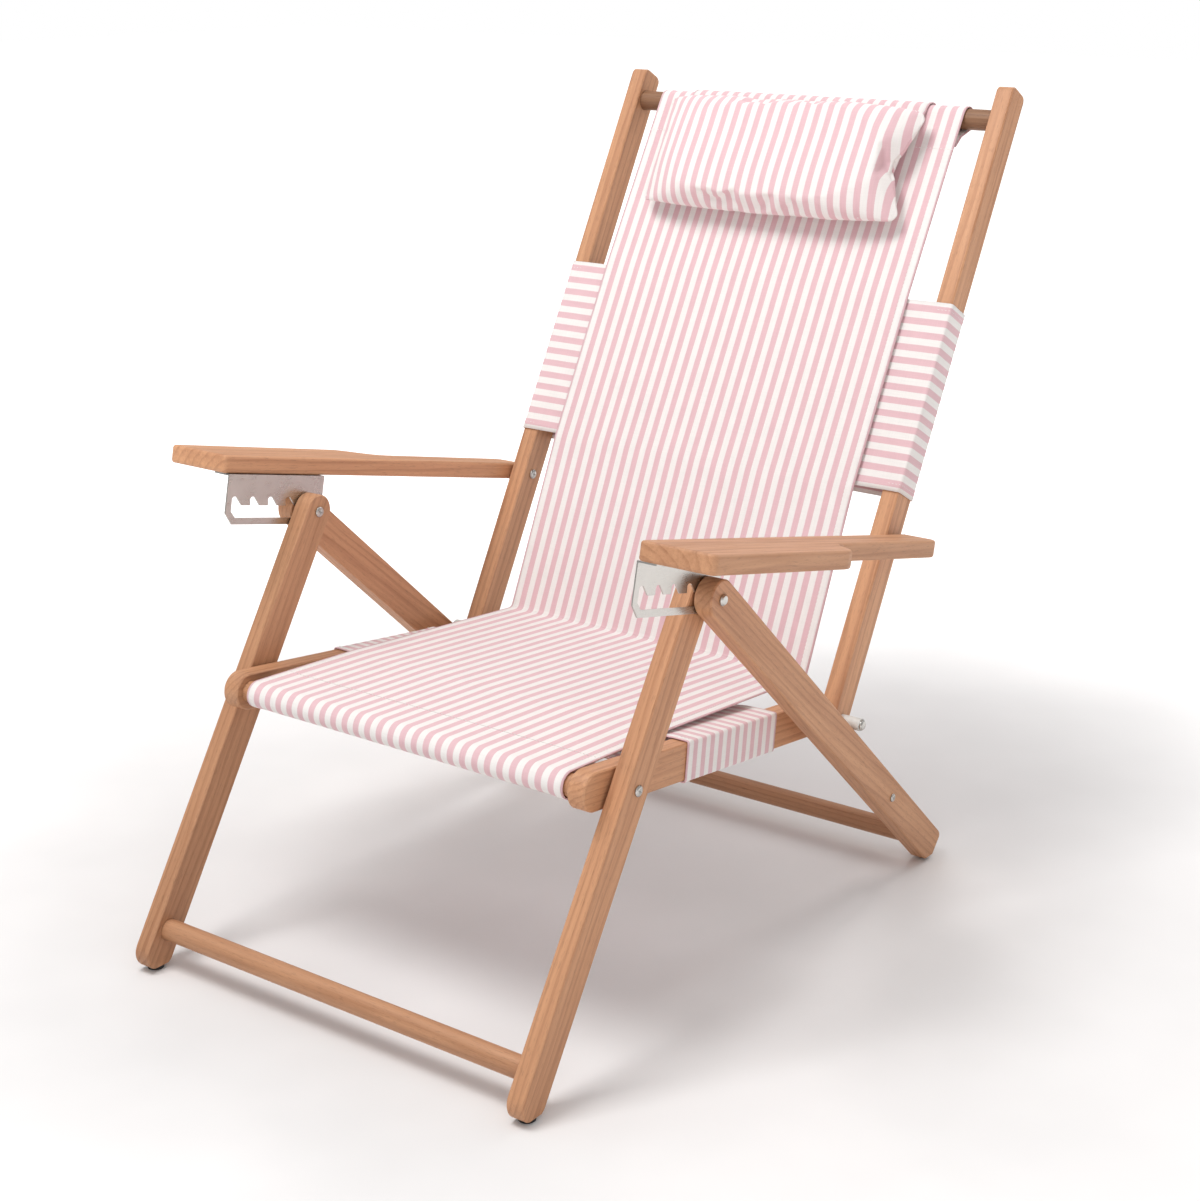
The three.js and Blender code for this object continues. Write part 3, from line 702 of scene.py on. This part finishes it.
# ---- support bands ----
def band_piece(name, member, span, inner_face, width, sag, settings):
    """A loop of canvas round both timbers: its two runs between them hang a little slack."""
    cloth = settings.cloth
    clear = 0.0004 + cloth.thickness / 2
    outer = inner_face + TIMBER_THICK + clear
    high = width / 2 + clear
    corners = [(0, -high), (outer, -high), (outer, high), (-outer, high), (-outer, -high), (0, -high)]
    loop = rounded_path(corners, 0.0022, 0.007)
    start, end = span
    rows = 30
    middle = (start + end) / 2

    def place(u, k):
        x, n = loop[k]
        s = middle + u * (end - start) / 2
        free = max(0.0, 1 - (abs(x) / inner_face) ** 2)
        n -= math.copysign(min(sag * free, abs(n) * 0.7), n)
        wrinkle = noise.noise(Vector((s * 30, x * 10, n * 40 + start))) * 0.0006
        lip = 0.0005 if (1 - abs(u)) * (end - start) / 2 < 0.009 else 0.0
        outward = Vector((0, 0, math.copysign(1, n))) if abs(abs(n) - high) < 0.001 else None
        point = member.at(s, n, x)
        if outward is not None:
            point += member.up * math.copysign(1, n) * (lip + max(0.0, wrinkle))
        elif abs(abs(x) - outer) < 0.001:
            point += Vector((math.copysign(1, x), 0, 0)) * lip * 0.5
        return point

    band = cloth_grid(name, loop, rows, place, end - start,
                      canvas_material(f"canvas of {name}", settings), closed=True)
    thicken(band, cloth.thickness)
    bm = bmesh.new()
    inset = 0.0078
    for s in (start + inset, end - inset):
        points = [member.at(s, n * (1 + 0.0011 / high), x * (1 + 0.0011 / outer))
                  for x, n in loop if abs(x) >= inner_face - 0.002]
        for side in SIDES.values():
            run = [point for point in points if point.x * side > 0]
            run.sort(key=lambda point: math.atan2(member.local(point)[1], abs(point.x) - inner_face))
            centre = member.at(s, 0, side * (inner_face + TIMBER_THICK / 2))
            add_stitches(bm, stitched_seam(run, lambda point, c=centre: (point - c)), radius=0.0003)
    thread = new_piece(f"{name}_stitching", bm, make_thread(settings))
    return band, thread, path_length(loop)


class BEACHCHAIR_OT_bands(bpy.types.Operator):
    """Make the canvas bands that tie the posts and the rails together"""

    bl_idname = "beach_chair.bands"
    bl_label = "Support bands"

    def execute(self, context):
        settings = context.scene.beach_chair
        for node, member, span, inner_face, width, sag, body, timber in (
                ("back_support_band", POST, BACK_BAND, 0.2255, 0.032, 0.003, "back_frame", "back_post"),
                ("seat_support_band", RAIL, SEAT_BAND, 0.2035, 0.037, 0.006, "seat_frame", "seat_rail")):
            band, thread, length = band_piece(
                f"{node}_canvas", member, span, inner_face, width, sag, settings)
            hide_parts(node)
            for piece in (band, thread):
                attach(piece, body)
        return {"FINISHED"}


# ---- pillow ----
PILLOW_SPAN = (0.514, 0.648)
PILLOW_HALF = 0.163
PILLOW_FRONT = 0.066
PILLOW_BACK = 0.0215
SEAM_STEPS = 26


def flat_bag(settings):
    """A thin closed bag, ready to be filled: long along X, with rounded corners."""
    bm = bmesh.new()
    bmesh.ops.create_cube(bm, size=1, matrix=Matrix.Diagonal((2 * PILLOW_HALF - 0.006, 0.150, 0.011, 1)))
    upright = [edge for edge in bm.edges if abs(edge.verts[0].co.z - edge.verts[1].co.z) > 0.005]
    bmesh.ops.bevel(bm, geom=upright, offset=0.010, offset_type="OFFSET", segments=4, profile=0.5,
                    affect="EDGES", material=-1)
    bag = new_piece("pillow_cover", bm, canvas_material("canvas of pillow", settings))
    remesh = bag.modifiers.new("remesh", "REMESH")
    remesh.mode = "VOXEL"
    remesh.voxel_size = 0.0042
    return applied(bag)


def fill_bag(bag, frames=22, most=0.024):
    """Blows the bag up as cloth, and holds every point within `most` of where it began."""
    scene = bpy.context.scene
    before = [vert.co.copy() for vert in bag.data.vertices]
    cloth = bag.modifiers.new("filling", "CLOTH")
    cloth.settings.quality = 6
    cloth.settings.mass = 0.25
    cloth.settings.tension_stiffness = 25
    cloth.settings.compression_stiffness = 25
    cloth.settings.shear_stiffness = 8
    cloth.settings.bending_stiffness = 0.6
    cloth.settings.use_pressure = True
    cloth.settings.uniform_pressure_force = 4.5
    cloth.settings.effector_weights.gravity = 0
    cloth.collision_settings.use_collision = False
    cloth.point_cache.frame_start = 1
    cloth.point_cache.frame_end = frames
    for current in range(1, frames + 1):
        scene.frame_set(current)
    applied(bag)
    scene.frame_set(1)
    for vert, start in zip(bag.data.vertices, before):
        move = vert.co - start
        if move.length > most:
            vert.co = start + move.normalized() * (most + (move.length - most) * 0.15)


def sling_front(s):
    """Height of the sling's front face above the post axis, where the pillow leans on it."""
    share = (s - BACK_BAND[1]) / (TOP_ROD_S - BACK_BAND[1])
    return 0.0205 + (ROD_WRAP + 0.0010 - 0.0205) * min(max(share, 0), 1)


class BEACHCHAIR_OT_pillow(bpy.types.Operator):
    """Make the filled headrest pillow and the flap that holds it to the top rod"""

    bl_idname = "beach_chair.pillow"
    bl_label = "Pillow"

    def execute(self, context):
        settings = context.scene.beach_chair
        bag = flat_bag(settings)
        fill_bag(bag)
        self.lean_on_sling(bag)
        smooth = bag.modifiers.new("smooth", "SUBSURF")
        smooth.levels = smooth.render_levels = 1
        applied(bag)
        for polygon in bag.data.polygons:
            polygon.use_smooth = True
        self.lay_map(bag)
        seam = self.make_seam(bag, settings)
        flap, length = self.make_flap(settings)
        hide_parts("pillow")
        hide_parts("pillow_flap")
        for piece in (bag, seam, flap):
            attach(piece, "back_frame")
        return {"FINISHED"}

    def lean_on_sling(self, bag):
        """Moves the filled bag to its place, squares its outline and flattens its back."""
        points = [vert.co.copy() for vert in bag.data.vertices]
        lows = [min(point[axis] for point in points) for axis in range(3)]
        highs = [max(point[axis] for point in points) for axis in range(3)]
        start, end = PILLOW_SPAN
        stretch_x = 2 * PILLOW_HALF / (highs[0] - lows[0])
        depth = (PILLOW_FRONT - PILLOW_BACK + 0.004) / (highs[2] - lows[2])
        reach_low, reach_high = self.outline(points, lows[0], highs[0])
        for vert, (x, y, z) in zip(bag.data.vertices, points):
            place = (x - lows[0]) / (highs[0] - lows[0])
            low, high = self.between(reach_low, place), self.between(reach_high, place)
            share = (y - low) / (high - low)
            nip = 0.0045 * abs(2 * place - 1) ** 6
            bow = 0.0030 * (1 - abs(2 * place - 1) ** 2)
            pinch = 1 - 0.78 * abs(2 * place - 1) ** 9
            s = start + 0.003 + nip - bow + share * (end - start - 0.003 - 2 * nip + bow)
            slump = 0.0035 * math.sin(math.pi * min(max(share, 0), 1)) ** 2 * (1 - 2 * share)
            n = PILLOW_BACK - 0.004 + (z - lows[2]) * depth + slump
            edge_n = PILLOW_BACK + 0.011
            n = edge_n + (n - edge_n) * pinch
            rest = sling_front(s) + 0.0012
            if n < rest:
                n = rest + (n - rest) * 0.05
            vert.co = POST.at(s, n, x * stretch_x)
        bag.data.update()

    def outline(self, points, low_x, high_x, slices=24):
        """The bag's lower and upper edge in each of a few slices along its length."""
        low, high = [[] for _ in range(slices)], [[] for _ in range(slices)]
        for x, y, z in points:
            k = min(int((x - low_x) / (high_x - low_x) * slices), slices - 1)
            low[k].append(y)
            high[k].append(y)
        return [min(row) for row in low], [max(row) for row in high]

    def between(self, row, place):
        """The value of `row` at a place from 0 to 1 along it."""
        at = min(max(place * len(row) - 0.5, 0), len(row) - 1)
        k = min(int(at), len(row) - 2)
        return row[k] + (row[k + 1] - row[k]) * (at - k)

    def lay_map(self, bag):
        """Stripes run up the pillow, so its map is taken straight from the front."""
        layer = bag.data.uv_layers.new(name="cloth")
        for loop in bag.data.loops:
            point = bag.data.vertices[loop.vertex_index].co
            s, n = POST.local(point)
            layer.data[loop.index].uv = (point.x, s + n * 0.4)

    def make_seam(self, bag, settings):
        """Stitches beside the sewn edge at both ends of the pillow."""
        bm = bmesh.new()
        for side in SIDES.values():
            edge = []
            start, end = PILLOW_SPAN
            for k in range(SEAM_STEPS + 1):
                s = start + (end - start) * k / SEAM_STEPS
                near = [vert.co for vert in bag.data.vertices
                        if abs(POST.local(vert.co)[0] - s) < 0.004 and vert.co.x * side > 0]
                if near:
                    edge.append(max(near, key=lambda point: point.x * side).copy())
            outward = Vector((side, 0, 0))
            add_stitches(bm, stitched_seam([point - outward * 0.004 + POST.up * 0.0034 for point in edge],
                                           lambda point: POST.up))
        return new_piece("pillow_seams", bm, make_thread(settings))

    def make_flap(self, settings):
        """The cloth strip from the pillow's top edge, over the rod and down behind the sling."""
        radius = 0.0152
        arc = [math.radians(90 - 180 * k / 16) for k in range(17)]
        front = [(PILLOW_SPAN[1] - 0.012, 0.0245), (PILLOW_SPAN[1] - 0.002, 0.0200)]
        over = [(TOP_ROD_S + radius * math.cos(a), radius * math.sin(a)) for a in arc]
        drop = [(TOP_ROD_S - 0.006 * k, -radius) for k in range(1, 20)]
        path = [Vector((point.y, point.z)) for point in (POST.at(s, n) for s, n in front + over + drop)]
        half = PILLOW_HALF - 0.012

        def place(u, row):
            wave = noise.noise(Vector((u * 3, row * 0.12, 2.0))) * 0.0004
            return Vector((u * half, path[row].x, path[row].y)) - POST.up * abs(wave)

        flap = cloth_grid("pillow_flap_canvas", path, 40, place, 2 * half,
                          canvas_material("canvas of flap", settings))
        thicken(flap, settings.cloth.thickness)
        return flap, path_length(path)


# ---- timber ----
TIMBERS = {
    "front_leg": FRONT_LEG.angle, "rear_leg": None, "seat_rail": RAIL.angle, "back_post": POST.angle,
    "armrest": None,
}
RODS = {"front_foot_rod": 0.92, "rear_foot_rod": 0.80, "seat_front_rod": 0.90, "back_top_rod": 0.50}


def long_angle(node):
    """The slope of a straight timber, taken from the diagonal of its own points."""
    points = [vert.co for vert in frame["nodes"][node].data.vertices]
    front = min(points, key=lambda point: point.y)
    rear = max(points, key=lambda point: point.y)
    return math.atan2(rear.z - front.z, rear.y - front.y)


def hardwood_material(node, turn, settings, dice, tone=1.0):
    timber = settings.timber
    centre = node_centre(node)
    centre.rotate(Matrix.Rotation(turn[0], 3, "X") if turn[0] else Matrix.Rotation(turn[2], 3, "Z"))
    heart = Vector((dice.uniform(0.03, 0.07) * dice.choice((-1, 1)), dice.uniform(-2, 2),
                    dice.uniform(0.02, 0.06)))
    tint = dice.uniform(0.90, 1.08) * tone
    spacing = timber.ring_spacing * dice.uniform(0.85, 1.25) * (1.5 if node.startswith("armrest") else 1)
    light = [channel * tint for channel in timber.light[:3]] + [1]
    dark = [channel * tint for channel in timber.dark[:3]] + [1]
    material = finish_material(
        f"hardwood of {node}", "hardwood",
        {"Ring Spacing": spacing, "Light": light, "Dark": dark,
         "Pores": timber.pores},
        (0.35, 0.00025), turn=turn, shift=heart - centre)
    material.node_tree.nodes["Principled BSDF"].inputs["Specular IOR Level"].default_value = 0.42
    return material


class BEACHCHAIR_OT_timber(bpy.types.Operator):
    """Give every timber its own length of hardwood"""

    bl_idname = "beach_chair.timber"
    bl_label = "Timber"

    def execute(self, context):
        settings = context.scene.beach_chair
        dice = random.Random(7)
        for name, angle in TIMBERS.items():
            for side in SIDES:
                node = f"{name}_{side}"
                slope = long_angle(node) if angle is None else angle
                self.coat(node, hardwood_material(node, (-slope, 0, 0), settings, dice))
        for node, tone in RODS.items():
            self.coat(node, hardwood_material(node, (0, 0, math.pi / 2), settings, dice, tone))
        return {"FINISHED"}

    def coat(self, node, material):
        timber = frame["nodes"][node]
        timber.data.materials.clear()
        timber.data.materials.append(material)


# ---- fittings ----
HEAD_SHARE = 0.47          # a pan head's height, as a share of its radius
BOLT_SHANK = 0.00275
SCREW_SHANK = 0.002
SCREWS = {                 # node: which way its head looks, +1 away from the chair's middle
    "seat_pivot_bolt": 1, "leg_pivot_bolt": -1, "back_pivot_bolt": -1, "arm_pivot_bolt": -1,
    "rear_leg_screw": 1,
}


def cross_recess(head, depth, width, span):
    """Cuts a cross recess into the top of a head that looks along +Z from the origin."""
    for turn in (0, math.pi / 2):
        bm = bmesh.new()
        bmesh.ops.create_cube(bm, size=1, matrix=Matrix.Rotation(turn, 4, "Z")
                              @ Matrix.Diagonal((span, width, 2 * depth, 1)))
        low = [vert for vert in bm.verts if vert.co.z < 0]
        bmesh.ops.scale(bm, vec=(0.55, 0.55, 1), verts=low)
        cutter = new_piece("recess cutter", bm)
        top = max(vert.co.z for vert in head.data.vertices)
        cutter.data.transform(Matrix.Translation((0, 0, top)))
        cut = head.modifiers.new("recess", "BOOLEAN")
        cut.operation = "DIFFERENCE"
        cut.solver = "EXACT"
        cut.object = cutter
        applied(head)
        bpy.data.objects.remove(cutter)


def screw_piece(node, outward, length, radius, settings, shank):
    """A pan-headed screw with a cross recess, spun round its own axis, in place of its plain node."""
    side = 1 if node.endswith("_left") else -1
    low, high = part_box(node)
    centre = node_centre(node)
    height = radius * HEAD_SHARE
    bm = bmesh.new()
    dome = [(radius, 0.35 * height)]
    dome += [(radius * math.cos(math.radians(a)), height * (0.35 + 0.65 * math.sin(math.radians(a))))
             for a in (25, 45, 62, 78)]
    profile = [(0, -length), (shank * 0.7, -length), (shank, -length + 0.0006), (shank, 0.00015),
               (radius * 0.96, 0.00015)] + dome + [(0, height)]
    verts = [bm.verts.new((r, 0, z)) for r, z in profile]
    edges = [bm.edges.new(pair) for pair in zip(verts, verts[1:])]
    bmesh.ops.spin(bm, geom=verts + edges, cent=(0, 0, 0), axis=(0, 0, 1), angle=2 * math.pi, steps=40,
                   use_merge=True, use_duplicate=False)
    bmesh.ops.remove_doubles(bm, verts=bm.verts[:], dist=0.00001)
    bmesh.ops.recalc_face_normals(bm, faces=bm.faces[:])
    piece = new_piece(f"{node}_head", bm, make_steel(settings))
    cross_recess(piece, 0.0018, settings.fittings.recess_width, radius * 1.3)
    looks = side * outward
    face_x = (high.x if looks > 0 else low.x) - looks * height
    turn = Matrix.Rotation(looks * math.pi / 2, 4, "Y")
    spin = Matrix.Rotation(0.35 + 0.8 * side, 4, "Z")
    piece.data.transform(Matrix.Translation((face_x, centre.y, centre.z)) @ turn @ spin)
    return piece


class BEACHCHAIR_OT_screws(bpy.types.Operator):
    """Make the bolts and screws, with cross recesses in their heads"""

    bl_idname = "beach_chair.screws"
    bl_label = "Screws"

    def execute(self, context):
        settings = context.scene.beach_chair
        for name, outward in SCREWS.items():
            for side in SIDES:
                node = f"{name}_{side}"
                low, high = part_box(node)
                radius = (high.y - low.y) / 2
                height = radius * HEAD_SHARE
                shank = SCREW_SHANK if name == "rear_leg_screw" else BOLT_SHANK
                piece = screw_piece(node, outward, high.x - low.x - height, radius, settings, shank)
                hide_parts(node)
                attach(piece, frame["nodes"][node]["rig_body"])
        return {"FINISHED"}


class BEACHCHAIR_OT_fittings(bpy.types.Operator):
    """Finish the brackets, nuts, washers, spacers and foot pads"""

    bl_idname = "beach_chair.fittings"
    bl_label = "Fittings"

    def execute(self, context):
        settings = context.scene.beach_chair
        fittings = settings.fittings
        steel = make_steel(settings)
        spacer = plain_material("spacer plastic", fittings.spacer, 0.45)
        # The pads under the leg ends get a near-black colour
        dark_pad = plain_material("foot rubber", fittings.dark_pad, 0.75, grain=500)
        for node, piece in frame["nodes"].items():
            material = None
            if any(word in node for word in ("bracket", "nut", "washer", "bolt", "screw")):
                material = steel
            elif "spacer" in node:
                material = spacer
            elif "pad" in node:
                material = dark_pad
            if material:
                piece.data.materials.clear()
                piece.data.materials.append(material)
        return {"FINISHED"}


# ---- stage ----
class BEACHCHAIR_OT_stage(bpy.types.Operator):
    """Set up the floor, the lights and the camera"""

    bl_idname = "beach_chair.stage"
    bl_label = "Stage"

    def execute(self, context):
        stage = context.scene.beach_chair.stage
        self.make_camera(context, stage)
        self.make_floor(stage)
        self.make_lights(context, stage)
        return {"FINISHED"}

    def make_camera(self, context, stage):
        data = bpy.data.cameras.new("studio camera")
        data.lens = stage.lens
        data.sensor_fit = "HORIZONTAL"
        data.sensor_width = 36
        camera = bpy.data.objects.new("studio camera", data)
        context.scene.collection.objects.link(camera)
        flat = math.cos(stage.elevation)
        away = Vector((math.sin(stage.azimuth) * flat, -math.cos(stage.azimuth) * flat,
                       math.sin(stage.elevation)))
        camera.location = Vector(stage.target) + away * stage.distance
        camera.rotation_euler = away.to_track_quat("Z", "Y").to_euler()
        context.scene.camera = camera

    def make_floor(self, stage):
        bm = bmesh.new()
        bmesh.ops.create_grid(bm, x_segments=1, y_segments=1, size=14)
        bmesh.ops.translate(bm, verts=bm.verts[:], vec=(0, 0, -0.0004))
        paint = plain_material("floor paint", stage.floor, 0.9, grain=3, relief=0.00001)
        shader = paint.node_tree.nodes["Principled BSDF"]
        wires = Wires(paint.node_tree)
        place = paint.node_tree.nodes.new("ShaderNodeTexCoord").outputs["Object"]
        x, y, _ = wires.split(place)
        reach = wires.math("SQRT", wires.plus(wires.times(x, x), wires.times(y, y)))
        lift = wires.ramp(reach, 0.35, 1.9, 0.0, stage.glow)
        wires.put(shader.inputs["Emission Color"], wires.join(lift, lift, lift))
        shader.inputs["Emission Strength"].default_value = 1
        shader.inputs["Specular IOR Level"].default_value = 0.1
        floor = new_piece("floor", bm, paint)

    def make_lights(self, context, stage):
        context.scene.view_settings.view_transform = "Standard"
        world = bpy.data.worlds.new("white surround")
        world.use_nodes = True
        nodes, links = world.node_tree.nodes, world.node_tree.links
        wires = Wires(world.node_tree)
        place = nodes.new("ShaderNodeTexCoord").outputs["Generated"]
        height = wires.split(place)[2]
        shade = wires.ramp(height, -0.1, 0.9, stage.sky * 0.55, stage.sky * 1.7)
        seen = nodes.new("ShaderNodeLightPath").outputs["Is Camera Ray"]
        strength = wires.plus(wires.times(wires.minus(1.0, seen), shade), seen)
        background = nodes["Background"]
        background.inputs["Color"].default_value = (1, 1, 1, 1)
        links.new(strength, background.inputs["Strength"])
        context.scene.world = world
        for name, place, size, power in (
                ("key light", (-0.45, -0.90, 2.7), 1.0, stage.key_power),
                ("rear light", (0.4, 1.9, 1.9), 1.2, stage.key_power * 0.35),
                ("fill light", (1.9, -2.2, 1.2), 1.6, stage.fill_power)):
            data = bpy.data.lights.new(name, "AREA")
            data.size = size
            data.energy = power
            light = bpy.data.objects.new(name, data)
            light.location = place
            aim = Vector(place) - Vector((0, 0, 0.35))
            light.rotation_euler = aim.to_track_quat("Z", "Y").to_euler()
            context.scene.collection.objects.link(light)


class BEACHCHAIR_PT_panel(bpy.types.Panel):
    """Lists the chair's making steps"""

    bl_label = "Beach chair"
    bl_idname = "BEACHCHAIR_PT_panel"
    bl_space_type = "VIEW_3D"
    bl_region_type = "UI"
    bl_category = "Beach chair"

    def draw(self, context):
        settings = context.scene.beach_chair
        for part in (settings.cloth, settings.timber, settings.fittings, settings.stage):
            for name in part.__annotations__:
                self.layout.prop(part, name)
        for step in STEPS:
            self.layout.operator(step.bl_idname)


STEPS = (BEACHCHAIR_OT_stage, BEACHCHAIR_OT_timber, BEACHCHAIR_OT_fittings, BEACHCHAIR_OT_screws,
         BEACHCHAIR_OT_sling, BEACHCHAIR_OT_bands, BEACHCHAIR_OT_pillow)
CLASSES = (BEACHCHAIR_PG_cloth, BEACHCHAIR_PG_timber, BEACHCHAIR_PG_fittings, BEACHCHAIR_PG_stage,
           BEACHCHAIR_PG_settings) + STEPS + (BEACHCHAIR_PT_panel,)


def register():
    for each in CLASSES:
        bpy.utils.register_class(each)
    bpy.types.Scene.beach_chair = PointerProperty(type=BEACHCHAIR_PG_settings)


def unregister():
    del bpy.types.Scene.beach_chair
    for each in reversed(CLASSES):
        bpy.utils.unregister_class(each)


def main():
    register()
    bpy.ops.beach_chair.stage()
    bpy.ops.beach_chair.timber()
    bpy.ops.beach_chair.fittings()
    bpy.ops.beach_chair.screws()
    bpy.ops.beach_chair.sling()
    bpy.ops.beach_chair.bands()
    bpy.ops.beach_chair.pillow()


if __name__ == "__main__":
    main()
